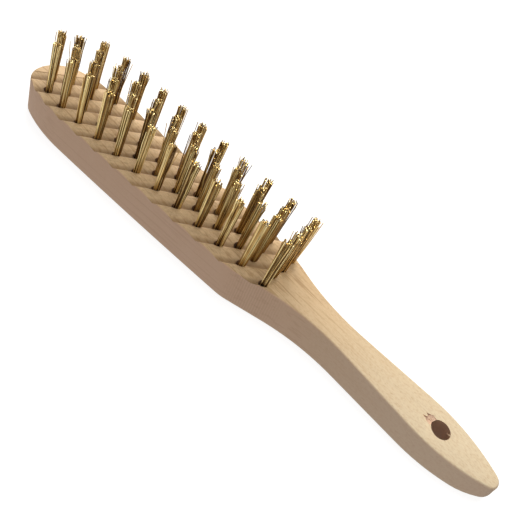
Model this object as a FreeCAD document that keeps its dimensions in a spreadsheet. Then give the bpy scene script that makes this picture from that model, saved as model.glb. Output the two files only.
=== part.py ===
import FreeCAD, Part
import math
import os

import Sketcher

# Wire brush: a one-piece beech block with a shaped handle, and brass wire tufts
# folded into blind holes in the head and held there by flat steel anchors.
#
# Frame, in millimetres: the flat back lies on Z = 0 and the tufts stand up along +Z.
# X runs from the toe (-X) to the end of the handle (+X), and Y across the head.
# The origin is the middle of the back, below the middle of the overall box.

doc = FreeCAD.newDocument("wire_brush")

# ---------------------------------------------------------------- driving sizes
DRIVING_SIZES = (
    # the block as a whole
    ("overall_length", 281.5, "toe to end of handle"),
    ("block_thickness", 17.6, "back to working face of the head"),
    ("back_edge_round", 1.0, "radius along the edge of the back"),
    # the head, seen from above
    ("head_length", 150.5, "toe to the shoulder corner"),
    ("belly_distance", 40.0, "toe to the widest place of the head"),
    ("belly_half_width", 19.6, "half the greatest width of the head"),
    ("shoulder_half_width", 17.4, "half the width at the shoulder corner"),
    ("nose_radius", 15.5, "radius of the toe in plan"),
    # the handle, seen from above
    ("neck_taper", 0.29, "fall of each side per millimetre behind the shoulder"),
    ("neck_radius", 105.0, "hollow of the neck in plan"),
    ("waist_half_width", 7.5, "half the least width of the handle"),
    ("grip_distance", 33.0, "widest place of the grip to the end of the handle"),
    ("grip_half_width", 10.5, "half the greatest width of the grip"),
    ("tip_radius", 4.5, "radius of the end of the handle in plan"),
    ("handle_drop", 7.4, "how much thinner the handle is at its end"),
    ("hang_hole_diameter", 8.6, "bore of the hanging hole"),
    ("hang_hole_distance", 28.4, "hanging hole to the end of the handle"),
    # the tuft holes and the ripples that run through them
    ("toe_land", 17.7, "toe to the first tuft of the outer row a"),
    ("heel_overrun", 13.2, "last cross row of tufts behind the shoulder corner"),
    ("tufts_in_row", 12, "tufts in the outer row a"),
    ("row_bow", 2.6, "how far the outer rows spread, a bow's reach from the heel"),
    ("bow_reach", 120.0, "heel row to where the rows have spread by row_bow"),
    ("toe_row_land", 6.2, "side of the toe to the middle of an outer row"),
    ("hole_diameter", 4.2, "tuft hole"),
    ("hole_depth", 11.5, "tuft hole below the working face"),
    ("edge_land", 0.8, "wood between the last outer hole and the side"),
    ("ripple_depth", 1.2, "depth of a ripple in the working face"),
    ("ripple_crest", 1.6, "flat left between two ripples, along X"),
    ("ripple_runout", 3.0, "ripples past the last cross row"),
    # the wire tufts
    ("wire_length", 26.6, "tuft above the working face"),
    ("tuft_clearance", 0.25, "gap all round a tuft in its hole"),
    ("tip_diameter", 4.2, "spread of a tuft at its cut ends"),
    ("tip_lean", 2.4, "lean of a tuft towards the handle at its cut ends"),
    # the anchors that hold the folded wires
    ("fold_height", 1.0, "folded wire below the anchor"),
    ("anchor_height", 2.0, "anchor along the hole"),
    ("anchor_thickness", 0.4, "anchor wire, flat"),
    ("anchor_bite", 0.4, "anchor pressed into the wood, each side"),
)

sizes = doc.addObject("Spreadsheet::Sheet", "Sizes")
for line, (alias, number, meaning) in enumerate(DRIVING_SIZES, start=1):
    sizes.set(f"A{line}", meaning)
    sizes.set(f"B{line}", str(number))
    sizes.setAlias(f"B{line}", alias)
doc.recompute()

# ------------------------------------------- sizes that follow from the driving ones
# Each is an expression on the sheet, written once, which sketches and features are
# bound to and which value() works out where a number is needed.
TOE = "(-Sizes.overall_length / 2)"
END = "(Sizes.overall_length / 2)"
SHOULDER = f"({TOE} + Sizes.head_length)"
BELLY = f"({TOE} + Sizes.belly_distance)"
HEEL_ROW = f"({SHOULDER} + Sizes.heel_overrun)"
RIPPLE_END = f"({HEEL_ROW} + Sizes.ripple_runout)"
TUFT_PITCH = "((Sizes.head_length - Sizes.toe_land + Sizes.heel_overrun) / (Sizes.tufts_in_row - 1))"
HALF_WIDTH_AT_HEEL = "(Sizes.shoulder_half_width - Sizes.heel_overrun * Sizes.neck_taper)"
OUTER_ROW = f"({HALF_WIDTH_AT_HEEL} - Sizes.edge_land - Sizes.hole_diameter / 2)"
FLANK_REACH = "(Sizes.belly_distance - Sizes.nose_radius)"
FLANK_RADIUS = (
    f"(({FLANK_REACH} ^ 2 + Sizes.belly_half_width ^ 2 - Sizes.nose_radius ^ 2)"
    " / (2 * (Sizes.belly_half_width - Sizes.nose_radius)))"
)
RIPPLE_SPACING = f"(({OUTER_ROW} + Sizes.row_bow / 2) * 2 / 3)"
HALF_WIDTH_AT_SPLIT = (
    "(Sizes.shoulder_half_width - (Sizes.heel_overrun + Sizes.ripple_runout) * Sizes.neck_taper)"
)
HOLE_FLOOR = "(Sizes.block_thickness - Sizes.hole_depth)"
GRIP = f"({END} - Sizes.grip_distance)"
HANG_HOLE = f"({END} - Sizes.hang_hole_distance)"
TUFT_ROOT_RADIUS = "(Sizes.hole_diameter / 2 - Sizes.tuft_clearance)"
ANCHOR_LENGTH = "(Sizes.hole_diameter + 2 * Sizes.anchor_bite)"
RIPPLE_WIDTH = f"({TUFT_PITCH} - Sizes.ripple_crest)"
RIPPLE_RADIUS = (
    f"(({RIPPLE_WIDTH} * {RIPPLE_WIDTH} / 4 + Sizes.ripple_depth ^ 2)"
    " / (2 * Sizes.ripple_depth))"
)


def value(expression):
    """The number that an expression on the sheet gives."""
    return float(sizes.evalExpression(expression))


# ---------------------------------------------------------------- sketching helpers
def origin_feature(body, role):
    """The origin plane or axis of a body, by its role."""
    for feature in body.Origin.OriginFeatures:
        if feature.Role == role:
            return feature
    raise ValueError(role)


def new_body(name):
    """An empty body labelled as its node."""
    body = doc.addObject("PartDesign::Body", name)
    body.Label = name
    return body


def new_sketch(body, name, plane="XY_Plane", height=None):
    """A sketch on an origin plane of its own body, lifted to a height if one is given."""
    sketch = body.newObject("Sketcher::SketchObject", name)
    sketch.AttachmentSupport = (origin_feature(body, plane), "")
    sketch.MapMode = "FlatFace"
    if height is not None:
        sketch.setExpression("AttachmentOffset.Base.z", height)
    return sketch


def bind(sketch, kind, *where, to):
    """Adds a dimension to a sketch and binds it to an expression."""
    index = sketch.addConstraint(Sketcher.Constraint(kind, *where, value(to)))
    sketch.setExpression(f"Constraints[{index}]", to)


def place_point(sketch, geometry, point, across, up):
    """Ties a point of the sketch to the sketch's origin."""
    bind(sketch, "DistanceX", -1, 1, geometry, point, to=across)
    bind(sketch, "DistanceY", -1, 1, geometry, point, to=up)


def circle(sketch, across, up, radius):
    """A circle whose centre and radius are bound."""
    centre = FreeCAD.Vector(value(across), value(up), 0)
    index = sketch.addGeometry(Part.Circle(centre, FreeCAD.Vector(0, 0, 1), value(radius)))
    place_point(sketch, index, 3, across, up)
    bind(sketch, "Radius", index, to=radius)


def rectangle(sketch, left, bottom, width, height):
    """An upright rectangle whose corner and sides are bound."""
    x, y = value(left), value(bottom)
    w, h = value(width), value(height)
    corners = [
        FreeCAD.Vector(x, y, 0),
        FreeCAD.Vector(x + w, y, 0),
        FreeCAD.Vector(x + w, y + h, 0),
        FreeCAD.Vector(x, y + h, 0),
    ]
    sides = closed_lines(sketch, corners)
    for side, direction in zip(sides, ("Horizontal", "Vertical", "Horizontal", "Vertical")):
        sketch.addConstraint(Sketcher.Constraint(direction, side))
    place_point(sketch, sides[0], 1, left, bottom)
    bind(sketch, "DistanceX", sides[0], 1, sides[0], 2, to=width)
    bind(sketch, "DistanceY", sides[1], 1, sides[1], 2, to=height)


def closed_lines(sketch, corners):
    """A closed run of lines through the corners, joined end to end."""
    sides = []
    for start, end in zip(corners, corners[1:] + corners[:1]):
        sides.append(sketch.addGeometry(Part.LineSegment(start, end)))
    for side, following in zip(sides, sides[1:] + sides[:1]):
        sketch.addConstraint(Sketcher.Constraint("Coincident", side, 2, following, 1))
    return sides


def arc(sketch, centre, radius, start, end):
    """An arc about a centre, anticlockwise from start to end, both given as points."""
    first = math.atan2(start[1] - centre[1], start[0] - centre[0])
    last = math.atan2(end[1] - centre[1], end[0] - centre[0])
    if last < first:
        last += 2 * math.pi
    ring = Part.Circle(FreeCAD.Vector(*centre, 0), FreeCAD.Vector(0, 0, 1), radius)
    return sketch.addGeometry(Part.ArcOfCircle(ring, first, last))


def line(sketch, start, end):
    """A straight line between two points."""
    return sketch.addGeometry(Part.LineSegment(FreeCAD.Vector(*start, 0), FreeCAD.Vector(*end, 0)))


def join(sketch, kind, first, first_point, second, second_point):
    """Joins two ends, smoothly (Tangent) or at a corner (Coincident)."""
    sketch.addConstraint(Sketcher.Constraint(kind, first, first_point, second, second_point))


def meeting_point(small_centre, large_centre, small_radius):
    """Where an arc runs smoothly into a larger one that holds it inside."""
    across = small_centre[0] - large_centre[0]
    up = small_centre[1] - large_centre[1]
    reach = small_radius / math.hypot(across, up)
    return small_centre[0] + across * reach, small_centre[1] + up * reach


def enclosing_radius(distance, half_width, small_radius):
    """Radius of the arc that is level at half_width and meets a small arc on the axis."""
    return (distance**2 + half_width**2 - small_radius**2) / (2 * (half_width - small_radius))


def pad(body, name, sketch, length):
    """A pad whose length is bound."""
    feature = body.newObject("PartDesign::Pad", name)
    feature.Profile = sketch
    feature.setExpression("Length", length)
    return feature


def pocket(body, name, sketch, depth=None, upward=False):
    """A pocket of a bound depth, or right through on both sides of its sketch."""
    feature = body.newObject("PartDesign::Pocket", name)
    feature.Profile = sketch
    if depth is None:
        feature.SideType = "Symmetric"
        feature.Type = "ThroughAll"
    else:
        feature.setExpression("Length", depth)
    feature.Reversed = upward
    return feature


def slanted_pocket(body, name, sketch, length, along, across):
    """A pocket cut to both sides of its sketch, in a direction of its own."""
    feature = body.newObject("PartDesign::Pocket", name)
    feature.Profile = sketch
    feature.SideType = "Symmetric"
    feature.setExpression("Length", length)
    feature.UseCustomVector = True
    feature.Direction = FreeCAD.Vector(value(along), value(across), 0)
    return feature


def must_remove(body, feature):
    """Stops the build if a cut took nothing away."""
    doc.recompute()
    before = feature.BaseFeature.Shape.Volume
    if not feature.Shape.Volume < before - 1e-6:
        raise RuntimeError(f"{feature.Name} removes nothing from {body.Label}")


def row_pattern(body, name, features, count, length):
    """Repeats features along X towards the toe."""
    pattern = body.newObject("PartDesign::LinearPattern", name)
    pattern.Originals = features
    pattern.Direction = (origin_feature(body, "X_Axis"), [""])
    pattern.Reversed = True
    pattern.setExpression("Length", length)
    pattern.setExpression("Occurrences", count)
    body.Tip = pattern
    return pattern


# ------------------------------------------------------------------ tuft positions
def outer_row_at(along):
    """How far the outer rows stand from the axis at a place along the head.

    They spread from the heel row on, and turn in again with the side of the toe.
    """
    spread = f"({OUTER_ROW} + Sizes.row_bow * (({HEEL_ROW} - {along}) / Sizes.bow_reach) ^ 2)"
    beside_toe = f"(sqrt({FLANK_RADIUS} ^ 2 - min(0; {along} - {BELLY}) ^ 2) - {FLANK_RADIUS})"
    limit = f"(Sizes.belly_half_width + {beside_toe} - Sizes.toe_row_land)"
    return f"min({spread}; {limit})"


class TuftRow:
    """One lengthwise row: its place across the head and its tufts from the heel forward."""

    def __init__(self, letter, place, heel_offset, shortfall, extra_offsets=(), stretch=1.0):
        self.letter = letter
        self.place = place
        offsets = list(extra_offsets)
        for step in range(round(value("Sizes.tufts_in_row")) - shortfall):
            offsets.append(heel_offset + step * stretch)
        self.stations = [f"({HEEL_ROW} - {offset} * {TUFT_PITCH})" for offset in sorted(offsets)]

    def across(self, along):
        """Where the row is across the head, at a place along it."""
        return f"(({self.place}) / 3 * {outer_row_at(along)})"


# The rows are staggered by half a pitch, and place counts from -3 to 3 across the head.
# Row b ends in two closer tufts, so that the last two cross rows at the heel stand
# square across the head. Row d is set a little wider apart, and has one tuft less.
ROWS = (
    TuftRow("a", -3, 0, 0),
    TuftRow("b", -1, 1.6, 1, extra_offsets=(0.1, 0.95)),
    TuftRow("c", 1, 0.1, 0),
    TuftRow("d", 3, 0.2, 1, stretch=1.035),
)


# ----------------------------------------------------------------------- the block
def draw_half_head(sketch):
    """Half the head in plan: toe arc, flank arc, side arc, shoulder corner, start of the neck."""
    toe, belly, shoulder, split = value(TOE), value(BELLY), value(SHOULDER), value(RIPPLE_END)
    nose, widest, corner = (
        value("Sizes.nose_radius"),
        value("Sizes.belly_half_width"),
        value("Sizes.shoulder_half_width"),
    )
    flank_radius = enclosing_radius(belly - toe - nose, widest, nose)
    side_radius = ((shoulder - belly) ** 2 + (widest - corner) ** 2) / (2 * (widest - corner))
    nose_centre = (toe + nose, 0)
    flank_centre = (belly, widest - flank_radius)
    side_centre = (belly, widest - side_radius)
    meeting = meeting_point(nose_centre, flank_centre, nose)
    neck_start = (split, value(HALF_WIDTH_AT_SPLIT))

    # arcs run anticlockwise, so along this upper side each one ends towards the toe
    toe_arc = arc(sketch, nose_centre, nose, meeting, (toe, 0))
    flank = arc(sketch, flank_centre, flank_radius, (belly, widest), meeting)
    side = arc(sketch, side_centre, side_radius, (shoulder, corner), (belly, widest))
    neck = line(sketch, (shoulder, corner), neck_start)
    back_edge = line(sketch, neck_start, (split, 0))
    axis = line(sketch, (split, 0), (toe, 0))

    join(sketch, "Tangent", toe_arc, 1, flank, 2)
    join(sketch, "Tangent", flank, 1, side, 2)
    join(sketch, "Coincident", side, 1, neck, 1)
    join(sketch, "Coincident", neck, 2, back_edge, 1)
    join(sketch, "Coincident", back_edge, 2, axis, 1)
    join(sketch, "Coincident", axis, 2, toe_arc, 2)
    sketch.addConstraint(Sketcher.Constraint("PointOnObject", toe_arc, 3, -1))
    place_point(sketch, toe_arc, 2, TOE, "0")
    bind(sketch, "Radius", toe_arc, to="Sizes.nose_radius")
    place_point(sketch, flank, 1, BELLY, "Sizes.belly_half_width")
    bind(sketch, "DistanceX", -1, 1, flank, 3, to=BELLY)
    place_point(sketch, neck, 1, SHOULDER, "Sizes.shoulder_half_width")
    place_point(sketch, neck, 2, RIPPLE_END, HALF_WIDTH_AT_SPLIT)
    place_point(sketch, back_edge, 2, RIPPLE_END, "0")


def draw_half_handle(sketch):
    """Half the handle in plan: neck line, hollow, rise, grip arc and end arc."""
    split, end, grip = value(RIPPLE_END), value(END), value(GRIP)
    start_height, taper = value(HALF_WIDTH_AT_SPLIT), value("Sizes.neck_taper")
    hollow, waist = value("Sizes.neck_radius"), value("Sizes.waist_half_width")
    widest, tip = value("Sizes.grip_half_width"), value("Sizes.tip_radius")

    slope = math.hypot(1, taper)
    down = (-taper / slope, -1 / slope)
    # the hollow's circle stands above the side and touches the neck line
    hollow_centre_up = waist + hollow
    touch_up = hollow_centre_up + down[1] * hollow
    touch_along = split + (start_height - touch_up) / taper
    hollow_centre = (touch_along - down[0] * hollow, hollow_centre_up)
    grip_radius = enclosing_radius(end - tip - grip, widest, tip)
    grip_centre = (grip, widest - grip_radius)
    tip_centre = (end - tip, 0)
    tip_meeting = meeting_point(tip_centre, grip_centre, tip)

    # the rise touches the hollow from below and the grip arc from above
    apart = (grip_centre[0] - hollow_centre[0], grip_centre[1] - hollow_centre[1])
    distance = math.hypot(*apart)
    turn = math.atan2(apart[1], apart[0]) - math.acos((hollow + grip_radius) / distance)
    normal = (math.cos(turn), math.sin(turn))
    leave = (hollow_centre[0] + normal[0] * hollow, hollow_centre[1] + normal[1] * hollow)
    arrive = (grip_centre[0] - normal[0] * grip_radius, grip_centre[1] - normal[1] * grip_radius)
    touch = (touch_along, touch_up)

    front_edge = line(sketch, (split, 0), (split, start_height))
    neck = line(sketch, (split, start_height), touch)
    neck_hollow = arc(sketch, hollow_centre, hollow, touch, leave)
    rise = line(sketch, leave, arrive)
    grip_arc = arc(sketch, grip_centre, grip_radius, tip_meeting, arrive)
    end_arc = arc(sketch, tip_centre, tip, (end, 0), tip_meeting)
    axis = line(sketch, (end, 0), (split, 0))

    join(sketch, "Coincident", front_edge, 2, neck, 1)
    join(sketch, "Tangent", neck, 2, neck_hollow, 1)
    join(sketch, "Tangent", neck_hollow, 2, rise, 1)
    join(sketch, "Tangent", rise, 2, grip_arc, 2)
    join(sketch, "Tangent", grip_arc, 1, end_arc, 2)
    join(sketch, "Coincident", end_arc, 1, axis, 1)
    join(sketch, "Coincident", axis, 2, front_edge, 1)
    place_point(sketch, front_edge, 1, RIPPLE_END, "0")
    place_point(sketch, front_edge, 2, RIPPLE_END, HALF_WIDTH_AT_SPLIT)
    slope_end = f"({HALF_WIDTH_AT_SPLIT} - 1 * Sizes.neck_taper)"
    guide = line(sketch, (split, start_height), (split + 1, value(slope_end)))
    sketch.setConstruction(guide, True)
    join(sketch, "Coincident", guide, 1, neck, 1)
    place_point(sketch, guide, 2, f"({RIPPLE_END} + 1)", slope_end)
    sketch.addConstraint(Sketcher.Constraint("Parallel", guide, neck))
    bind(sketch, "Radius", neck_hollow, to="Sizes.neck_radius")
    bind(sketch, "DistanceY", -1, 1, neck_hollow, 3, to="Sizes.waist_half_width + Sizes.neck_radius")
    bind(sketch, "DistanceX", -1, 1, grip_arc, 3, to=GRIP)
    grip_top = sketch.addGeometry(Part.Point(FreeCAD.Vector(grip, widest, 0)))
    sketch.setConstruction(grip_top, True)
    sketch.addConstraint(Sketcher.Constraint("PointOnObject", grip_top, 1, grip_arc))
    place_point(sketch, grip_top, 1, GRIP, "Sizes.grip_half_width")
    sketch.addConstraint(Sketcher.Constraint("PointOnObject", end_arc, 3, -1))
    place_point(sketch, end_arc, 1, END, "0")
    bind(sketch, "Radius", end_arc, to="Sizes.tip_radius")


def mirrored(body, name, features):
    """Copies features to the other side of the brush."""
    mirror = body.newObject("PartDesign::Mirrored", name)
    mirror.Originals = features
    mirror.MirrorPlane = (origin_feature(body, "XZ_Plane"), [""])
    body.Tip = mirror
    return mirror


def draw_ripple(sketch):
    """One ripple, cut across X: a shallow arc below the face and a lid above it."""
    # the last ripple crosses the axis one and a half rows on from row a's last tuft
    middle = f"({HEEL_ROW} + 1.5 * {TUFT_PITCH} / 2)"
    centre_x, half = value(middle), value(RIPPLE_WIDTH) / 2
    face, radius = value("Sizes.block_thickness"), value(RIPPLE_RADIUS)
    centre_z = face - value("Sizes.ripple_depth") + radius
    floor = arc(sketch, (centre_x, centre_z), radius, (centre_x - half, face), (centre_x + half, face))
    lid = line(sketch, (centre_x + half, face), (centre_x - half, face))
    join(sketch, "Coincident", floor, 2, lid, 1)
    join(sketch, "Coincident", lid, 2, floor, 1)
    place_point(sketch, lid, 1, f"({middle} + {RIPPLE_WIDTH} / 2)", "Sizes.block_thickness")
    place_point(sketch, lid, 2, f"({middle} - {RIPPLE_WIDTH} / 2)", "Sizes.block_thickness")
    bind(sketch, "Radius", floor, to=RIPPLE_RADIUS)


def cut_ripples(body):
    """Ripples across the head, slanted so that each follows the stagger of the tufts."""
    sketch = new_sketch(body, "ripple_section", "XZ_Plane")
    draw_ripple(sketch)
    reach = "(8 * Sizes.belly_half_width)"
    ripple = slanted_pocket(body, "ripple", sketch, reach, f"({TUFT_PITCH} / 2)", RIPPLE_SPACING)
    must_remove(body, ripple)
    # one more starts beside the toe for each two rows
    count = "(Sizes.tufts_in_row + 2)"
    return row_pattern(body, "ripples", [ripple], count, f"({TUFT_PITCH} * ({count} - 1))")


def drill_row(body, row):
    """A row of blind holes, each with the cut that its anchor makes in the wood."""
    holes = new_sketch(body, f"holes_{row.letter}_plan", height="Sizes.block_thickness")
    slots = new_sketch(body, f"slots_{row.letter}_plan", height=f"({HOLE_FLOOR} + Sizes.fold_height)")
    for along in row.stations:
        across = row.across(along)
        circle(holes, along, across, "Sizes.hole_diameter / 2")
        left = f"({along} - {ANCHOR_LENGTH} / 2)"
        near = f"({across} - Sizes.anchor_thickness / 2)"
        rectangle(slots, left, near, ANCHOR_LENGTH, "Sizes.anchor_thickness")
    drilled = pocket(body, f"holes_{row.letter}", holes, "Sizes.hole_depth")
    must_remove(body, drilled)
    pressed = pocket(body, f"slots_{row.letter}", slots, "Sizes.anchor_height", upward=True)
    must_remove(body, pressed)


def edges_at_back(shape):
    """Names of the edges that lie on the back of the block."""
    on_back = 1e-4
    names = []
    for index, edge in enumerate(shape.Edges, start=1):
        if edge.BoundBox.ZMax < on_back:
            names.append(f"Edge{index}")
    return names


def make_block():
    """The beech block: head and handle in one piece."""
    body = new_body("block")
    head_plan = new_sketch(body, "head_plan")
    draw_half_head(head_plan)
    head = pad(body, "half_head", head_plan, "Sizes.block_thickness")
    doc.recompute()
    mirrored(body, "head", [head])
    doc.recompute()
    cut_ripples(body)
    doc.recompute()

    handle_plan = new_sketch(body, "handle_plan")
    draw_half_handle(handle_plan)
    handle = pad(body, "half_handle", handle_plan, "Sizes.block_thickness")
    doc.recompute()
    mirrored(body, "handle", [handle])
    doc.recompute()

    # the back edge is rounded while its edges are still a plain outline
    plain = body.Tip
    rounded = body.newObject("PartDesign::Fillet", "back_edge")
    rounded.Base = (plain, edges_at_back(plain.Shape))
    rounded.setExpression("Radius", "Sizes.back_edge_round")
    doc.recompute()

    # the handle's upper face falls away in a straight line behind the ripples
    wedge = new_sketch(body, "handle_taper_side", "XZ_Plane")
    top, end, start = value("Sizes.block_thickness"), value(END), value(RIPPLE_END)
    corners = [
        FreeCAD.Vector(start, top, 0),
        FreeCAD.Vector(end, top - value("Sizes.handle_drop"), 0),
        FreeCAD.Vector(end, top, 0),
    ]
    sides = closed_lines(wedge, corners)
    place_point(wedge, sides[0], 1, RIPPLE_END, "Sizes.block_thickness")
    place_point(wedge, sides[0], 2, END, "Sizes.block_thickness - Sizes.handle_drop")
    place_point(wedge, sides[1], 2, END, "Sizes.block_thickness")
    taper = pocket(body, "handle_taper", wedge)
    must_remove(body, taper)

    for row in ROWS:
        drill_row(body, row)

    hang_sketch = new_sketch(body, "hang_hole_plan")
    circle(hang_sketch, HANG_HOLE, "0", "Sizes.hang_hole_diameter / 2")
    hang_hole = pocket(body, "hang_hole", hang_sketch)
    must_remove(body, hang_hole)
    return body


# ----------------------------------------------------------------- tufts and anchors
def make_tuft(name, along, across):
    """One tuft as the outer shape of its wires: folded root, anchor window, leaning brush."""
    body = new_body(name)
    levels = (
        ("root", "0", "0", TUFT_ROOT_RADIUS),
        ("mouth", "Sizes.hole_depth", "0", TUFT_ROOT_RADIUS),
        ("tips", "Sizes.hole_depth + Sizes.wire_length", "Sizes.tip_lean", "Sizes.tip_diameter / 2"),
    )
    outlines = []
    for level, height, lean, radius in levels:
        outline = new_sketch(body, f"{name}_{level}", height=height)
        circle(outline, lean, "0", radius)
        outlines.append(outline)
    doc.recompute()
    wires = body.newObject("PartDesign::AdditiveLoft", f"{name}_wires")
    wires.Profile = outlines[0]
    wires.Sections = outlines[1:]
    wires.Ruled = True
    doc.recompute()
    window = new_sketch(body, f"{name}_window_plan", "YZ_Plane")
    rectangle(
        window,
        "-Sizes.anchor_thickness / 2",
        "Sizes.fold_height",
        "Sizes.anchor_thickness",
        "Sizes.anchor_height",
    )
    opening = pocket(body, f"{name}_window", window)
    must_remove(body, opening)
    body.Placement = FreeCAD.Placement(
        FreeCAD.Vector(along, across, value(HOLE_FLOOR)),
        FreeCAD.Rotation(),
    )
    return body


def make_anchor(name, along, across):
    """One flat anchor, across its hole and into the wood on both sides."""
    anchor = doc.addObject("Part::Box", name)
    anchor.setExpression("Length", ANCHOR_LENGTH)
    anchor.setExpression("Width", "Sizes.anchor_thickness")
    anchor.setExpression("Height", "Sizes.anchor_height")
    corner = FreeCAD.Vector(
        along - value(ANCHOR_LENGTH) / 2,
        across - value("Sizes.anchor_thickness") / 2,
        value(f"({HOLE_FLOOR} + Sizes.fold_height)"),
    )
    anchor.Placement = FreeCAD.Placement(corner, FreeCAD.Rotation())
    return anchor


def make_row(row):
    """The tufts of a row, numbered from the toe, and the group of anchors below them."""
    made = []
    anchors = []
    for number, station in enumerate(reversed(row.stations), start=1):
        along, across = value(station), value(row.across(station))
        made.append(make_tuft(f"tuft_{row.letter}{number:02d}", along, across))
        anchors.append(make_anchor(f"anchor_{row.letter}{number:02d}", along, across))
    group = doc.addObject("Part::Compound", f"anchors_row_{row.letter}")
    group.Label = f"anchors_row_{row.letter}"
    group.Links = anchors
    made.append(group)
    return made


nodes = [make_block()]
for tuft_row in ROWS:
    nodes += make_row(tuft_row)
doc.recompute()

# ------------------------------------------------------------------- check and write
for item in doc.Objects:
    if "Invalid" in item.State or "Error" in item.State:
        raise RuntimeError(f"{item.Label} failed: {item.State}")
for node in nodes:
    if node.Shape.isNull() or not node.Shape.isValid():
        raise RuntimeError(f"{node.Label} has no valid shape")

os.makedirs("parts", exist_ok=True)
for node in nodes:
    node.Shape.exportStep(f"parts/{node.Label}.step")
    print(node.Label, len(node.Shape.Solids), "solids", round(node.Shape.Volume, 2), "mm3")
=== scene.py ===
"""Looks of a wire brush: a beech block with a shaped handle and brass wire tufts.

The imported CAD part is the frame. The block and each tuft get a piece of their own
that stands for the CAD node, and the steel anchors stay as they are with a finish.
Frame: the flat back lies on Z = 0, the tufts stand up along +Z, and X runs from the
toe to the end of the handle. Sizes are in millimetres and places in metres.
"""

import logging
import math
import random
from contextlib import contextmanager
from dataclasses import dataclass, field
from enum import Enum
from typing import Any, Callable, Iterator, Optional

import bmesh
import bpy
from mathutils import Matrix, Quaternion, Vector


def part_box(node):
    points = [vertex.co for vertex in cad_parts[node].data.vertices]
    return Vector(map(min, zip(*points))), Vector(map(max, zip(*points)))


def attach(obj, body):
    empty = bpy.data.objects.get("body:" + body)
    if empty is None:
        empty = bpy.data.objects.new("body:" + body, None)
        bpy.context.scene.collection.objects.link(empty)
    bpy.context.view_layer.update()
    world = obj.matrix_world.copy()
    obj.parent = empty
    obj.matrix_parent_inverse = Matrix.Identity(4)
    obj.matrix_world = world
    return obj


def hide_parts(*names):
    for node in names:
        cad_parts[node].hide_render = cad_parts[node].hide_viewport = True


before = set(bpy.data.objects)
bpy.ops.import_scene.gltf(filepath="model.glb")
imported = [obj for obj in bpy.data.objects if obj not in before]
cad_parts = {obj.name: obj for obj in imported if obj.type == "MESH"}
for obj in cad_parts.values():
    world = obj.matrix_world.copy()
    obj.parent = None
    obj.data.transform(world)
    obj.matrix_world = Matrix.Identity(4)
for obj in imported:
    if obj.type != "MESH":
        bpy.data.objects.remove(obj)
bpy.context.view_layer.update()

MM = 0.001
# points nearer than this count as one
MERGE = 0.0005 * MM
BODY = "root"
# the face attribute that holds each wire's own tone
WIRE_TONE = "wire_tone"
# a wave texture of scale 1 repeats after this length
WAVE_PERIOD = 0.314
# radius of a CAD tuft at its root, in mm
TUFT_ROOT_RADIUS = 1.85
log = logging.getLogger("wire_brush")


# ---------------------------------------------------------------- working by hand
class Element(Enum):
    """What an edit-mode selection is made of."""

    VERTEX = "VERT"
    EDGE = "EDGE"
    FACE = "FACE"


def take(piece: bpy.types.Object) -> None:
    """Leaves edit mode and makes one piece the selected and active one.

    Args:
        piece: the object to work on next.
    """
    if bpy.context.object and bpy.context.object.mode != "OBJECT":
        bpy.ops.object.mode_set(mode="OBJECT")
    bpy.ops.object.select_all(action="DESELECT")
    piece.select_set(True)
    bpy.context.view_layer.objects.active = piece


def started(name: str) -> bpy.types.Object:
    """Names the primitive that was just added, and applies its place to its mesh.

    Args:
        name: what to call it.

    Returns:
        The primitive.
    """
    piece = bpy.context.object
    take(piece)
    bpy.ops.object.transform_apply(location=True, rotation=True, scale=True)
    piece.name = name
    piece.data.name = name
    return piece


@contextmanager
def editing(piece: bpy.types.Object) -> Iterator[None]:
    """Edit mode on one piece, with nothing selected at the start.

    Args:
        piece: the mesh object to edit.

    Yields:
        Nothing, while edit mode lasts.
    """
    take(piece)
    bpy.ops.object.mode_set(mode="EDIT")
    bpy.ops.mesh.select_all(action="DESELECT")
    yield
    bpy.ops.object.mode_set(mode="OBJECT")


def pick(element: Element, wanted: Callable[[Any], bool]) -> int:
    """Selects the parts of the mesh being edited that pass a test, and no others.

    Args:
        element: vertices, edges or faces.
        wanted: the test, given one of them.

    Returns:
        How many were selected.
    """
    bpy.ops.mesh.select_mode(type=element.value)
    bpy.ops.mesh.select_all(action="DESELECT")
    mesh = bpy.context.edit_object.data
    net = bmesh.from_edit_mesh(mesh)
    kinds = {Element.VERTEX: net.verts, Element.EDGE: net.edges, Element.FACE: net.faces}
    found = [part for part in kinds[element] if wanted(part)]
    for part in found:
        part.select_set(True)
    net.select_flush_mode()
    bmesh.update_edit_mesh(mesh)
    return len(found)


def move(x: float = 0.0, y: float = 0.0, z: float = 0.0) -> None:
    """Moves what is selected in edit mode, in metres."""
    bpy.ops.transform.translate(value=(x, y, z))


def extrude(x: float = 0.0, y: float = 0.0, z: float = 0.0) -> None:
    """Extrudes what is selected in edit mode, in metres."""
    bpy.ops.mesh.extrude_region_move(TRANSFORM_OT_translate={"value": (x, y, z)})


def face_outwards() -> None:
    """Turns all normals of the mesh being edited outwards."""
    bpy.ops.mesh.select_all(action="SELECT")
    bpy.ops.mesh.normals_make_consistent(inside=False)


def apply_modifier(piece: bpy.types.Object, kind: str, **settings: Any) -> None:
    """Adds a modifier with its settings and applies it.

    Args:
        piece: the object it shapes.
        kind: Blender's name for the modifier.
        settings: its properties.
    """
    take(piece)
    bpy.ops.object.modifier_add(type=kind)
    modifier = piece.modifiers[-1]
    for name, setting in settings.items():
        setattr(modifier, name, setting)
    bpy.ops.object.modifier_apply(modifier=modifier.name)


def cut_away(piece: bpy.types.Object, cutter: bpy.types.Object) -> None:
    """Takes a cutter out of a piece. The cut faces keep the cutter's material."""
    apply_modifier(
        piece,
        "BOOLEAN",
        operation="DIFFERENCE",
        object=cutter,
        solver="EXACT",
        material_mode="TRANSFER",
    )
    bpy.data.objects.remove(cutter)


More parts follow.
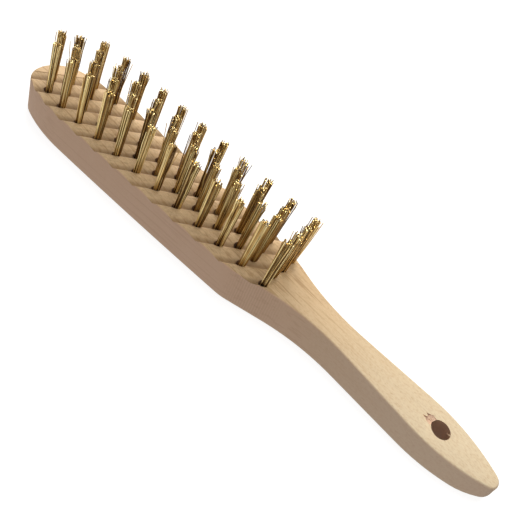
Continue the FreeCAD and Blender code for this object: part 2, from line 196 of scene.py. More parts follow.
def copied(piece: bpy.types.Object, name: str) -> bpy.types.Object:
    """Copies a piece, and gives the copy a mesh of its own.

    Args:
        piece: what to copy.
        name: what to call the copy.

    Returns:
        The copy.
    """
    copy = piece.copy()
    copy.data = piece.data.copy()
    copy.name = name
    copy.data.name = name
    bpy.context.scene.collection.objects.link(copy)
    return copy


def joined(pieces: list[bpy.types.Object], name: str) -> bpy.types.Object:
    """Joins pieces into the first of them.

    Args:
        pieces: the pieces, of which only the first is left.
        name: what to call the result.

    Returns:
        The joined piece.
    """
    take(pieces[0])
    for piece in pieces:
        piece.select_set(True)
    bpy.ops.object.join()
    pieces[0].name = name
    pieces[0].data.name = name
    return pieces[0]


# ---------------------------------------------------------------- finishes
Socket = bpy.types.NodeSocket


def linear(colour: str) -> tuple[float, float, float, float]:
    """Turns an sRGB colour to linear light.

    Args:
        colour: hex, such as #ddceb1.

    Returns:
        Red, green, blue and alpha.
    """
    parts = [int(colour[i : i + 2], 16) / 255 for i in (1, 3, 5)]
    red, green, blue = (c / 12.92 if c <= 0.04045 else ((c + 0.055) / 1.055) ** 2.4 for c in parts)
    return red, green, blue, 1.0


def per_mm(length: float) -> float:
    """The scale that repeats a pattern once in a length given in millimetres."""
    return 1.0 / (length * MM)


def node(
    material: bpy.types.Material,
    kind: str,
    inputs: Optional[dict[Any, Any]] = None,
    stops: Optional[list[tuple[float, Any]]] = None,
    **settings: Any,
) -> bpy.types.Node:
    """Adds one node to a material, with its settings, values and links.

    Args:
        material: the material it goes into.
        kind: the node's type without its ShaderNode prefix.
        inputs: socket name or number, to a value or to the socket that feeds it.
        stops: position and colour of each stop, for a ramp.
        settings: the node's own properties.

    Returns:
        The node.
    """
    tree = material.node_tree
    made = tree.nodes.new("ShaderNode" + kind)
    for name, setting in settings.items():
        setattr(made, name, setting)
    for socket, feed in (inputs or {}).items():
        if isinstance(feed, Socket):
            tree.links.new(feed, made.inputs[socket])
        else:
            made.inputs[socket].default_value = feed
    if stops:
        ramp = made.color_ramp.elements
        while len(ramp) < len(stops):
            ramp.new(1.0)
        for element, (position, colour) in zip(ramp, stops):
            element.position = position
            element.color = linear(colour) if isinstance(colour, str) else (*[colour] * 3, 1.0)
    return made


def blank(name: str) -> bpy.types.Material:
    """Starts a material with an empty node tree.

    Args:
        name: what to call it.

    Returns:
        The material.
    """
    material = bpy.data.materials.new(name)
    material.use_nodes = True
    material.node_tree.nodes.clear()
    return material


def cell(along: float, across: float) -> tuple[float, float, float]:
    """The scale of a pattern whose cells are this long in X and this wide, in mm."""
    return per_mm(along), per_mm(across), per_mm(across)


@dataclass(frozen=True)
class Spot:
    """Sockets that say where on the wood a spot lies and which way it faces.

    place holds object coordinates, and x and z are two of its parts. headward rises from
    the handle to the head. endwise and sideways say how squarely the face looks along X
    and along Y, up to 1.
    """

    place: Socket
    x: Socket
    z: Socket
    headward: Socket
    endwise: Socket
    sideways: Socket


@dataclass(frozen=True)
class Beech:
    """Steamed beech: pale and pinkish, close-grained, with short brown ray flecks.

    Under the saw and the sander it stays matt, and its pores are too fine to see. Colours
    are sRGB hex. A span gives the X where something starts and ends, in millimetres, and
    other sizes are in millimetres too. The colours of the sides, of the head and of the
    valleys are painted shade. A valley_floor of 0 leaves out the painted shade in the valleys.
    """

    name: str = "beech_sanded"
    pale: str = "#ddceb1"
    warm: str = "#d3bf9b"
    grain: str = "#b9966c"
    fleck: str = "#9c7850"
    growth: str = "#9a7648"
    end_grain: str = "#b08f74"
    # painted shade: the pinker, darker tone of the faces that look sideways
    side: str = "#dfb597"
    # painted shade of the tufts and painted warm bounce off the brass: the tone the wood browns to
    # towards the head
    head_shade: str = "#c8a97e"
    # painted shade: the colour that the ripples' valleys are darkened towards
    valley_shade: str = "#7b5c36"
    roughness: float = 0.62
    fleck_share: float = 0.75
    relief: float = 0.05
    fleck_relief: float = 0.06
    headward_span: tuple[float, float] = (118.0, 12.0)
    growth_span: tuple[float, float] = (85.0, 30.0)
    chatter_heel_span: tuple[float, float] = (8.0, 16.0)
    chatter_neck_span: tuple[float, float] = (40.0, 26.0)
    chatter_spacing: float = 1.1
    valley_floor: float = 0.0
    valley_height: float = 0.9

    def spot(self, m: bpy.types.Material) -> Spot:
        """Adds the nodes that say where a spot lies and which way it faces.

        Args:
            m: the material.

        Returns:
            Their sockets.
        """
        place = node(m, "TexCoord").outputs["Object"]
        along = node(m, "SeparateXYZ", {0: place})
        facing = node(m, "SeparateXYZ", {0: node(m, "NewGeometry").outputs["Normal"]})
        start, end = self.headward_span
        headward = node(
            m,
            "MapRange",
            {0: along.outputs["X"], 1: start * MM, 2: end * MM, 3: 0.0, 4: 0.85},
            interpolation_type="SMOOTHSTEP",
        )
        endwise = node(m, "Math", {0: facing.outputs["X"]}, operation="ABSOLUTE")
        sideways = node(m, "Math", {0: facing.outputs["Y"]}, operation="ABSOLUTE")
        return Spot(
            place=place,
            x=along.outputs["X"],
            z=along.outputs["Z"],
            headward=headward.outputs[0],
            endwise=endwise.outputs[0],
            sideways=sideways.outputs[0],
        )

    def toned(self, m: bpy.types.Material, spot: Spot) -> Socket:
        """Gives the wood a drifting, mottled tone, browned towards the head as painted shade of the
        tufts and painted warm bounce off the brass.

        Args:
            m: the material.
            spot: where on the wood.

        Returns:
            The colour.
        """
        # tone drifts in bands about 9 mm wide and a hand's breadth long
        bands = node(m, "Mapping", {"Vector": spot.place, "Scale": cell(90, 9)})
        tone = node(
            m,
            "TexNoise",
            {"Vector": bands.outputs[0], "Scale": 1.0, "Detail": 4.0, "Roughness": 0.6},
        )
        tones = node(
            m,
            "Mix",
            {0: tone.outputs["Fac"], 6: linear(self.pale), 7: linear(self.warm)},
            data_type="RGBA",
        )
        # painted shade and painted warm bounce: browner towards the head, where the tufts stand
        head_shaded = node(
            m,
            "Mix",
            {0: spot.headward, 6: tones.outputs[2], 7: linear(self.head_shade)},
            data_type="RGBA",
        )
        # mottling in patches of about 1.5 by 0.7 mm
        patches = node(m, "Mapping", {"Vector": spot.place, "Scale": cell(1.5, 0.7)})
        patch = node(m, "TexNoise", {"Vector": patches.outputs[0], "Scale": 1.0, "Detail": 3.0})
        mottle = node(m, "MapRange", {0: patch.outputs["Fac"], 1: 0.45, 2: 0.75, 3: 0.0, 4: 0.4})
        mottled = node(
            m,
            "Mix",
            {0: mottle.outputs[0], 6: head_shaded.outputs[2], 7: linear(self.grain)},
            data_type="RGBA",
        )
        return mottled.outputs[2]

    def grained(self, m: bpy.types.Material, spot: Spot, coat: Socket) -> Socket:
        """Draws the grain lines and the growth lines.

        Args:
            m: the material.
            spot: where on the wood.
            coat: the colour so far.

        Returns:
            The colour with them.
        """
        # grain lines under a millimetre apart that run on for a couple of centimetres
        lines = node(m, "Mapping", {"Vector": spot.place, "Scale": cell(24, 0.9)})
        line = node(
            m,
            "TexNoise",
            {"Vector": lines.outputs[0], "Scale": 1.0, "Detail": 3.0, "Roughness": 0.55},
        )
        lined = node(m, "ValToRGB", {0: line.outputs["Fac"]}, stops=[(0.5, 0.0), (0.8, 0.6)])
        # they are plainest in the neck and fade out along the handle
        plain = node(m, "Math", {0: spot.headward, 1: 0.35}, operation="MAXIMUM")
        shown = node(m, "Math", {0: lined.outputs[0], 1: plain.outputs[0]}, operation="MULTIPLY")
        fine = node(
            m,
            "Mix",
            {0: shown.outputs[0], 6: coat, 7: linear(self.grain)},
            data_type="RGBA",
        )
        # a few dark growth lines, under a millimetre wide, run out of the tufts down the neck
        slant = (0.0, 0.0, math.radians(-4))
        rings = node(
            m,
            "Mapping",
            {"Vector": spot.place, "Rotation": slant, "Scale": cell(90, 1.3)},
        )
        ring = node(m, "TexNoise", {"Vector": rings.outputs[0], "Scale": 1.0, "Detail": 2.0})
        ringed = node(m, "MapRange", {0: ring.outputs["Fac"], 1: 0.56, 2: 0.64, 3: 0.0, 4: 0.5})
        start, end = self.growth_span
        fade = node(m, "MapRange", {0: spot.x, 1: end * MM, 2: start * MM, 3: 1.0, 4: 0.0})
        growth = node(m, "Math", {0: ringed.outputs[0], 1: fade.outputs[0]}, operation="MULTIPLY")
        grown = node(
            m,
            "Mix",
            {0: growth.outputs[0], 6: fine.outputs[2], 7: linear(self.growth)},
            data_type="RGBA",
        )
        return grown.outputs[2]

    def flecks(self, m: bpy.types.Material, spot: Spot) -> Socket:
        """Scatters the ray flecks.

        Args:
            m: the material.
            spot: where on the wood.

        Returns:
            How much of a fleck there is.
        """
        # spindles about 1.5 mm long and 0.5 mm wide, in most of the cells
        cells = node(m, "Mapping", {"Vector": spot.place, "Scale": cell(2.2, 0.8)})
        near = node(m, "TexVoronoi", {"Vector": cells.outputs[0], "Scale": 1.0, "Randomness": 1.0})
        spindle = node(m, "ValToRGB", {0: near.outputs["Distance"]}, stops=[(0.12, 1.0), (0.34, 0.0)])
        chosen = node(m, "SeparateColor", {0: near.outputs["Color"]})
        shown = node(
            m,
            "Math",
            {0: chosen.outputs[0], 1: 1.0 - self.fleck_share},
            operation="GREATER_THAN",
        )
        fleck = node(m, "Math", {0: spindle.outputs[0], 1: shown.outputs[0]}, operation="MULTIPLY")
        faint = node(m, "Math", {0: fleck.outputs[0], 1: 0.24}, operation="MULTIPLY")
        return faint.outputs[0]

    def turned(self, m: bpy.types.Material, spot: Spot, coat: Socket) -> Socket:
        """Darkens the faces that cut across the grain, and paints shade on the long sides.

        Args:
            m: the material.
            spot: where on the wood.
            coat: the colour so far.

        Returns:
            The colour with them.
        """
        # the fibres' cut ends drink more light where a face turns across the grain
        across = node(m, "ValToRGB", {0: spot.endwise}, stops=[(0.25, 0.0), (0.95, 0.75)])
        ended = node(
            m,
            "Mix",
            {0: across.outputs[0], 6: coat, 7: linear(self.end_grain)},
            data_type="RGBA",
        )
        # painted shade: the faces that look sideways are made pinker and darker, more so towards the
        # head
        aside = node(m, "ValToRGB", {0: spot.sideways}, stops=[(0.45, 0.0), (0.9, 0.8)])
        pinker = node(m, "Math", {0: spot.headward, 1: 0.55}, operation="MAXIMUM")
        share = node(m, "Math", {0: aside.outputs[0], 1: pinker.outputs[0]}, operation="MULTIPLY")
        side_shaded = node(
            m,
            "Mix",
            {0: share.outputs[0], 6: ended.outputs[2], 7: linear(self.side)},
            data_type="RGBA",
        )
        # the shaper chattered round the shoulders and left marks across them
        marks = node(
            m,
            "TexWave",
            {
                "Vector": spot.place,
                "Scale": WAVE_PERIOD * per_mm(self.chatter_spacing),
                "Distortion": 1.5,
                "Detail": 1.0,
            },
            bands_direction="X",
        )
        start, end = self.chatter_neck_span
        neck = node(m, "MapRange", {0: spot.x, 1: start * MM, 2: end * MM, 3: 0.0, 4: 1.0})
        start, end = self.chatter_heel_span
        heel = node(m, "MapRange", {0: spot.x, 1: start * MM, 2: end * MM, 3: 0.0, 4: 0.22})
        around = node(m, "Math", {0: neck.outputs[0], 1: heel.outputs[0]}, operation="MULTIPLY")
        faced = node(m, "Math", {0: around.outputs[0], 1: aside.outputs[0]}, operation="MULTIPLY")
        chatter = node(m, "Math", {0: faced.outputs[0], 1: marks.outputs["Fac"]}, operation="MULTIPLY")
        chattered = node(
            m,
            "Mix",
            {0: chatter.outputs[0], 6: side_shaded.outputs[2], 7: linear(self.growth)},
            data_type="RGBA",
        )
        return chattered.outputs[2]

    def shade_valleys(self, m: bpy.types.Material, spot: Spot, coat: Socket) -> Socket:
        """Paints shade into the valleys of the ripples: the lower the face lies, the darker it is.

        Args:
            m: the material.
            spot: where on the wood.
            coat: the colour so far.

        Returns:
            The colour with the painted shade.
        """
        floor = self.valley_floor
        valley = node(
            m,
            "MapRange",
            {0: spot.z, 1: floor * MM, 2: (floor + self.valley_height) * MM, 3: 0.65, 4: 0.0},
            interpolation_type="SMOOTHSTEP",
        )
        valley_shaded = node(
            m,
            "Mix",
            {0: valley.outputs[0], 6: coat, 7: linear(self.valley_shade)},
            data_type="RGBA",
        )
        return valley_shaded.outputs[2]

    def uneven(self, m: bpy.types.Material, spot: Spot, fleck: Socket) -> Socket:
        """Raises the nap of the fibres and sinks the flecks a little.

        Args:
            m: the material.
            spot: where on the wood.
            fleck: how much of a fleck there is.

        Returns:
            The normal.
        """
        fibres = node(m, "Mapping", {"Vector": spot.place, "Scale": cell(5, 0.35)})
        fibre = node(
            m,
            "TexNoise",
            {"Vector": fibres.outputs[0], "Scale": 1.0, "Detail": 4.0, "Roughness": 0.6},
        )
        nap = node(
            m,
            "Bump",
            {"Strength": 0.5, "Distance": self.relief * MM, "Height": fibre.outputs["Fac"]},
        )
        dents = node(
            m,
            "Bump",
            {
                "Strength": 0.6,
                "Distance": self.fleck_relief * MM,
                "Height": fleck,
                "Normal": nap.outputs[0],
            },
            invert=True,
        )
        return dents.outputs[0]

    def make(self) -> bpy.types.Material:
        """Builds the material.

        Returns:
            The finished material.
        """
        m = blank(self.name)
        spot = self.spot(m)
        fleck = self.flecks(m, spot)
        flecked = node(
            m,
            "Mix",
            {0: fleck, 6: self.grained(m, spot, self.toned(m, spot)), 7: linear(self.fleck)},
            data_type="RGBA",
        )
        coat = self.turned(m, spot, flecked.outputs[2])
        # painted shade: the lower the rippled face lies, the darker it is painted
        if self.valley_floor:
            coat = self.shade_valleys(m, spot, coat)
        surface = node(
            m,
            "BsdfPrincipled",
            {
                "Base Color": coat,
                "Roughness": self.roughness,
                "IOR": 1.5,
                "Specular IOR Level": 0.3,
                "Normal": self.uneven(m, spot, fleck),
            },
        )
        node(m, "OutputMaterial", {"Surface": surface.outputs[0]})
        return m


@dataclass(frozen=True)
class BrassWire:
    """Drawn brass wire: bright along each wire, browner where it has tarnished."""

    name: str = "brass_wire"
    bright: str = "#fbe9ae"
    worn: str = "#cba462"
    tarnished: str = "#5f4322"
    roughness: float = 0.36

    def make(self) -> bpy.types.Material:
        """Builds the material.

        Returns:
            The finished material.
        """
        m = blank(self.name)
        # each wire has a tone of its own, and clouds of tarnish 6 mm long change it a little
        place = node(m, "TexCoord").outputs["Object"]
        clouds = node(m, "Mapping", {"Vector": place, "Scale": (per_mm(2), per_mm(2), per_mm(6))})
        cloud = node(m, "TexNoise", {"Vector": clouds.outputs[0], "Scale": 1.0, "Detail": 2.0})
        own = node(m, "Attribute", attribute_name=WIRE_TONE)
        tone = node(m, "Mix", {0: 0.25, 2: own.outputs["Fac"], 3: cloud.outputs["Fac"]})
        spread = node(
            m,
            "ValToRGB",
            {0: tone.outputs[0]},
            stops=[(0.2, self.bright), (0.5, self.worn), (0.8, self.tarnished)],
        )
        surface = node(
            m,
            "BsdfPrincipled",
            {"Base Color": spread.outputs[0], "Metallic": 1.0, "Roughness": self.roughness},
        )
        node(m, "OutputMaterial", {"Surface": surface.outputs[0]})
        return m


@dataclass(frozen=True)
class Steel:
    """Cold-rolled flat steel wire, brushed along its length by the mill."""

    name: str = "anchor_steel"
    light: str = "#b9bcc0"
    dark: str = "#8d9196"
    roughness: float = 0.38

    def make(self) -> bpy.types.Material:
        """Builds the material.

        Returns:
            The finished material.
        """
        m = blank(self.name)
        place = node(m, "TexCoord").outputs["Object"]
        marks = node(m, "Mapping", {"Vector": place, "Scale": cell(2, 0.1)})
        mark = node(m, "TexNoise", {"Vector": marks.outputs[0], "Scale": 1.0, "Detail": 3.0})
        spread = node(
            m,
            "ValToRGB",
            {0: mark.outputs["Fac"]},
            stops=[(0.35, self.light), (0.7, self.dark)],
        )
        surface = node(
            m,
            "BsdfPrincipled",
            {"Base Color": spread.outputs[0], "Metallic": 1.0, "Roughness": self.roughness},
        )
        node(m, "OutputMaterial", {"Surface": surface.outputs[0]})
        return m


# ---------------------------------------------------------------- the block
@dataclass(frozen=True)
class Stroke:
    """One stretch of the block's outline in plan, in millimetres.

    A stroke with a centre is an arc, and one without is a straight line.
    """

    start: tuple[float, float]
    end: tuple[float, float]
    centre: Optional[tuple[float, float]] = None

    def sweep(self) -> float:
        """Measures the arc.

        Returns:
            The angle it turns through, anticlockwise, in radians.
        """
        first = math.atan2(self.start[1] - self.centre[1], self.start[0] - self.centre[0])
        last = math.atan2(self.end[1] - self.centre[1], self.end[0] - self.centre[0])
        return math.remainder(last - first, 2 * math.pi)

    def draw(self, step: float, turn: float) -> None:
        """Draws the stroke on from the selected vertex, in edit mode.

        Args:
            step: the longest facet, in millimetres.
            turn: the most that one facet turns, in radians.
        """
        if self.centre is None:
            run = (Vector(self.end) - Vector(self.start)) * MM
            extrude(run.x, run.y)
            return
        sweep = self.sweep()
        radius = math.dist(self.start, self.centre)
        facets = max(2, math.ceil(abs(sweep) / turn), math.ceil(abs(sweep) * radius / step))
        # without a window the spin turns clockwise for a positive angle
        bpy.ops.mesh.spin(
            steps=facets,
            angle=-sweep,
            center=(self.centre[0] * MM, self.centre[1] * MM, 0.0),
            axis=(0.0, 0.0, 1.0),
        )


@dataclass
class BeechBlock:
    """The one-piece block: head, neck and handle, ripples, tuft holes, hanging hole.

    Sizes are in millimetres. tuft_places holds the X and Y of each tuft's hole. Each of
    tear_fingers is a place across the torn grain and how far the tear runs on there.
    """

    length: float = 281.5
    thickness: float = 17.6
    head_length: float = 150.5
    belly: float = 40.0
    belly_half_width: float = 19.6
    shoulder_half_width: float = 17.4
    nose_radius: float = 15.5
    neck_taper: float = 0.29
    neck_radius: float = 105.0
    waist_half_width: float = 7.5
    grip: float = 33.0
    grip_half_width: float = 10.5
    tip_radius: float = 4.5
    handle_drop: float = 7.4
    split: float = 25.95
    top_edge_round: float = 0.8
    back_edge_round: float = 1.0
    end_run: float = 13.0
    end_lift: float = 3.4
    end_facets: int = 5
    shoulder_round: float = 2.5
    ripples: int = 13
    ripple_depth: float = 1.3
    ripple_skim: float = 0.05
    ripple_wall: float = 0.3
    ripple_facets: int = 16
    ripple_run_out: float = 5.0
    planer_reach: float = 24.0
    planer_height: float = 6.0
    hang_hole: float = 28.4
    hang_hole_radius: float = 4.3
    tear_length: float = 2.3
    tear_width: float = 2.6
    tear_depth: float = 0.7
    tear_offset: float = 0.4
    tear_fingers: tuple[tuple[float, float], ...] = (
        (-1.5, 0.2),
        (-0.5, 1.5),
        (0.6, -0.4),
        (1.6, 1.2),
    )
    finger_half_width: float = 0.28
    splinter_length: float = 3.2
    splinter_radius: float = 0.55
    splinter_tip: float = 0.12
    splinter_offset: float = 1.3
    tuft_hole_radius: float = 2.1
    tuft_hole_depth: float = 11.5
    drill_point: float = 0.8
    pitch: float = 13.27
    outer_row: float = 10.67
    row_bow: float = 2.6
    bow_reach: float = 120.0
    heel_row: float = 22.95
    tuft_places: list[tuple[float, float]] = field(default_factory=list)
    piece: Optional[bpy.types.Object] = None

    @property
    def toe(self) -> float:
        """X of the toe."""
        return -self.length / 2

    @property
    def end(self) -> float:
        """X of the end of the handle."""
        return self.length / 2

    def head_strokes(self) -> list[Stroke]:
        """One side of the head, from the toe to where the handle starts to thin.

        Returns:
            The nose arc, the flank arc, the long side arc and the neck line.
        """
        nose = (self.toe + self.nose_radius, 0.0)
        belly = (self.toe + self.belly, self.belly_half_width)
        shoulder = (self.toe + self.head_length, self.shoulder_half_width)
        run, rise = belly[0] - nose[0], self.belly_half_width
        flank_radius = (run**2 + rise**2 - self.nose_radius**2) / (2 * (rise - self.nose_radius))
        flank = (belly[0], rise - flank_radius)
        reach = self.nose_radius / math.dist(nose, flank)
        touch = (nose[0] + (nose[0] - flank[0]) * reach, nose[1] + (nose[1] - flank[1]) * reach)
        drop, back = belly[1] - shoulder[1], shoulder[0] - belly[0]
        side_radius = (back**2 + drop**2) / (2 * drop)
        side = (belly[0], rise - side_radius)
        neck = (self.split, shoulder[1] - (self.split - shoulder[0]) * self.neck_taper)
        return [
            Stroke((self.toe, 0.0), touch, nose),
            Stroke(touch, belly, flank),
            Stroke(belly, shoulder, side),
            Stroke(shoulder, neck),
        ]

    def handle_strokes(self, start: tuple[float, float]) -> list[Stroke]:
        """One side of the handle, on from the head.

        Args:
            start: where the head's neck line stops.

        Returns:
            The rest of the neck line, the hollow, the rise, the grip arc and the end arc.
        """
        slope = math.hypot(1, self.neck_taper)
        down = (-self.neck_taper / slope, -1 / slope)
        hollow_up = self.waist_half_width + self.neck_radius
        touch_up = hollow_up + down[1] * self.neck_radius
        touch = (start[0] + (start[1] - touch_up) / self.neck_taper, touch_up)
        hollow = (touch[0] - down[0] * self.neck_radius, hollow_up)
        grip_x, tip = self.end - self.grip, (self.end - self.tip_radius, 0.0)
        run, rise = tip[0] - grip_x, self.grip_half_width
        grip_radius = (run**2 + rise**2 - self.tip_radius**2) / (2 * (rise - self.tip_radius))
        grip = (grip_x, rise - grip_radius)
        reach = self.tip_radius / math.dist(tip, grip)
        meeting = (tip[0] + (tip[0] - grip[0]) * reach, tip[1] + (tip[1] - grip[1]) * reach)
        apart = (grip[0] - hollow[0], grip[1] - hollow[1])
        radii = self.neck_radius + grip_radius
        turn = math.atan2(apart[1], apart[0]) - math.acos(radii / math.hypot(*apart))
        normal = (math.cos(turn), math.sin(turn))
        leave = (hollow[0] + normal[0] * self.neck_radius, hollow[1] + normal[1] * self.neck_radius)
        arrive = (grip[0] - normal[0] * grip_radius, grip[1] - normal[1] * grip_radius)
        return [
            Stroke(start, touch),
            Stroke(touch, leave, hollow),
            Stroke(leave, arrive),
            Stroke(arrive, meeting, grip),
            Stroke(meeting, (self.end, 0.0), tip),
        ]

    def saw_outline(self) -> None:
        """Draws one side of the outline, mirrors it and gives it the block's thickness."""
        bpy.ops.object.select_all(action="DESELECT")
        bpy.ops.mesh.primitive_plane_add(size=MM, location=(self.toe * MM, 0.0, 0.0))
        self.piece = started("block_beech")
        head = self.head_strokes()
        with editing(self.piece):
            bpy.ops.mesh.select_all(action="SELECT")
            bpy.ops.mesh.merge(type="CENTER")
            for stroke in head + self.handle_strokes(head[-1].end):
                stroke.draw(step=3.0, turn=math.radians(9))
        apply_modifier(
            self.piece,
            "MIRROR",
            use_axis=(False, True, False),
            use_mirror_merge=True,
            merge_threshold=0.01 * MM,
        )
        with editing(self.piece):
            bpy.ops.mesh.select_all(action="SELECT")
            bpy.ops.mesh.edge_face_add()
            extrude(z=self.thickness * MM)
            face_outwards()

    def thin_handle(self) -> None:
        """Saws the top of the handle down on a slope from the head to the end."""
        run = self.end - self.split
        with editing(self.piece):
            bpy.ops.mesh.select_all(action="SELECT")
            bpy.ops.mesh.bisect(
                plane_co=(self.split * MM, 0.0, self.thickness * MM),
                plane_no=Vector((self.handle_drop, 0.0, run)).normalized(),
                use_fill=True,
                clear_outer=True,
                threshold=MERGE,
            )

    def lift_end(self) -> None:
        """Rounds the back up towards the end of the handle."""
        start = self.end - self.end_run
        with editing(self.piece):
            for facet in range(self.end_facets):
                x = start + self.end_run * facet / self.end_facets
                bpy.ops.mesh.select_all(action="SELECT")
                bpy.ops.mesh.bisect(
                    plane_co=(x * MM, 0.0, 0.0),
                    plane_no=(1.0, 0.0, 0.0),
                    threshold=MERGE,
                )
            # the lift grows with the square of the way along
            pick(Element.VERTEX, lambda v: abs(v.co.z) < MERGE and v.co.x > start * MM)
            net = bmesh.from_edit_mesh(self.piece.data)
            xs = {round(v.co.x / MM, 3) for v in net.verts if v.select}
            for x in sorted(xs):
                share = (x - start) / self.end_run
                pick(Element.VERTEX, lambda v: v.co.z < MERGE and abs(v.co.x / MM - x) < 0.002)
                move(z=share**2 * self.end_lift * MM)

    def soften_shoulders(self) -> None:
        """Rounds the two upright corners where the head meets the neck."""
        corner = self.toe + self.head_length
        with editing(self.piece):
            pick(
                Element.EDGE,
                lambda e: abs(e.verts[0].co.x - e.verts[1].co.x) < MERGE
                and abs(e.verts[0].co.x - corner * MM) < 0.1 * MM
                and abs(e.verts[0].co.z - e.verts[1].co.z) > self.thickness * MM / 2,
            )
            bpy.ops.mesh.bevel(offset=self.shoulder_round * MM, segments=4, affect="EDGES")

    def ripple_line(self, start: float, y: float) -> float:
        """How far along a ripple is at a place across the head.

        Args:
            start: X where the ripple crosses the axis.
            y: the place across, from the axis.

        Returns:
            X there. The ripples follow the stagger of the tufts, and lean less where
            the rows have spread.
        """
        bow = self.row_bow * ((self.heel_row - start) / self.bow_reach) ** 2
        return start + y * (self.pitch / 2) / ((self.outer_row + bow) * 2 / 3)

    def ripple_share(self, column: int) -> float:
        """How far down its full depth a ripple is, at a column of the wavy sheet.

        Args:
            column: counted from midway between two valleys, with ripple_facets to
                each ripple.

        Returns:
            0 on the crest and 1 in the valley, which the tuft holes run along. The wall on
            the heel side of a valley is steep, and the back of each ripple falls slowly.
        """
        past_valley = (column / self.ripple_facets + 0.5) % 1.0
        if past_valley < self.ripple_wall:
            return 1.0 - math.sin(math.pi / 2 * past_valley / self.ripple_wall)
        past_crest = (past_valley - self.ripple_wall) / (1.0 - self.ripple_wall)
        return 1.0 - math.cos(math.pi / 2 * past_crest)

    def ripple_cutter(self, finish: bpy.types.Material) -> bpy.types.Object:
        """A wavy sheet with a solid above it, the shape that the ripple planer takes away.

        Args:
            finish: the material of the faces it leaves.

        Returns:
            The cutter.
        """
        columns = self.ripples * self.ripple_facets
        # a valley leans half a pitch from row to row, so the last one crosses the axis three
        # quarters of a pitch past the heel tuft, and the sheet runs on for half a pitch
        last = self.heel_row + self.pitch * (0.75 + 0.5)
        bpy.ops.object.select_all(action="DESELECT")
        bpy.ops.mesh.primitive_grid_add(x_subdivisions=columns, y_subdivisions=1, size=1.0)
        sheet = bpy.context.object
        with editing(sheet):
            for column in range(columns + 1):
                at = column / columns - 0.5
                start = last - (columns - column) / self.ripple_facets * self.pitch
                depth = self.ripple_skim + self.ripple_share(column) * self.ripple_depth
                height = self.thickness - depth
                for side in (-1, 1):
                    # columns that have been lifted into place are passed over
                    pick(
                        Element.VERTEX,
                        lambda v: v.co.z < MERGE and v.co.y * side > 0 and abs(v.co.x - at) < 1e-4,
                    )
                    x = self.ripple_line(start, side * self.planer_reach)
                    move(x * MM - at, side * (self.planer_reach * MM - 0.5), height * MM)
            bpy.ops.mesh.select_all(action="SELECT")
            extrude(z=self.planer_height * MM)
            face_outwards()
            # the ripples run out where the handle starts to slope
            bpy.ops.mesh.select_all(action="SELECT")
            bpy.ops.mesh.bisect(
                plane_co=(self.split * MM, 0.0, self.thickness * MM),
                plane_no=Vector((self.ripple_depth, 0.0, -self.ripple_run_out)).normalized(),
                use_fill=True,
                clear_outer=True,
                threshold=MERGE,
            )
        sheet.data.materials.clear()
        sheet.data.materials.append(finish)
        return sheet

    def hole_cutter(self, finish: bpy.types.Material) -> bpy.types.Object:
        """The drills of all the tuft holes as one cutter.

        Args:
            finish: the material of the walls, darkened as painted shade of the holes.

        Returns:
            The cutter.
        """
        top, floor = self.thickness + 3.0, self.thickness - self.tuft_hole_depth
        bpy.ops.object.select_all(action="DESELECT")
        bpy.ops.mesh.primitive_cylinder_add(
            vertices=20,
            radius=self.tuft_hole_radius * MM,
            depth=(top - floor) * MM,
            location=(0.0, 0.0, (top + floor) / 2 * MM),
        )
        drill = started("tuft_drill")
        with editing(drill):
            pick(Element.FACE, lambda f: f.normal.z < -0.9)
            bpy.ops.mesh.inset(thickness=self.tuft_hole_radius * 0.5 * MM)
            move(z=-self.drill_point * MM)
        drill.data.materials.append(finish)
        drills = []
        for number, (x, y) in enumerate(self.tuft_places):
            one = copied(drill, f"drill_{number}")
            one.location = (x * MM, y * MM, 0.0)
            drills.append(one)
        bpy.data.objects.remove(drill)
        cutter = joined(drills, "tuft_drills")
        take(cutter)
        bpy.ops.object.transform_apply(location=True, rotation=True, scale=True)
        return cutter

    def hang_cutter(self, finish: bpy.types.Material) -> bpy.types.Object:
        """The drill of the hanging hole.

        Args:
            finish: the material of the wall, darkened as painted shade of the hole.

        Returns:
            The cutter.
        """
        bpy.ops.object.select_all(action="DESELECT")
        bpy.ops.mesh.primitive_cylinder_add(
            vertices=48,
            radius=self.hang_hole_radius * MM,
            depth=3 * self.thickness * MM,
            location=((self.end - self.hang_hole) * MM, 0.0, 0.0),
        )
        drill = started("hang_drill")
        drill.data.materials.append(finish)
        return drill

    def handle_top(self, x: float) -> float:
        """Height of the handle's sloping face at a place along it."""
        return self.thickness - self.handle_drop * (x - self.split) / (self.end - self.split)

    def torn_cutter(self, finish: bpy.types.Material) -> bpy.types.Object:
        """The grain that the drill tore out of the face on the toe side of the hanging hole.

        Args:
            finish: the material of the torn fibres.

        Returns:
            The cutter: a flat ragged lens that reaches a little under the face.
        """
        x = self.end - self.hang_hole - self.hang_hole_radius - self.tear_length / 3
        top = self.handle_top(x)
        bpy.ops.object.select_all(action="DESELECT")
        bpy.ops.mesh.primitive_uv_sphere_add(segments=22, ring_count=9, radius=MM)
        lens = bpy.context.object
        lens.scale = (self.tear_length, self.tear_width, self.tear_depth)
        lens.location = (x * MM, self.tear_offset * MM, (top + 0.1) * MM)
        tear = started("torn_grain")
        with editing(tear):
            # the rim runs out along the grain in splinters of different lengths
            for side, reach in self.tear_fingers:
                pick(
                    Element.VERTEX,
                    lambda v: abs(v.co.y / MM - side) < self.finger_half_width and v.co.x < x * MM,
                )
                move(x=-reach * MM)
            bpy.ops.mesh.select_all(action="SELECT")
            bpy.ops.transform.vertex_random(offset=0.16 * MM, uniform=1.0, normal=0.0, seed=5)
        tear.data.materials.append(finish)
        return tear

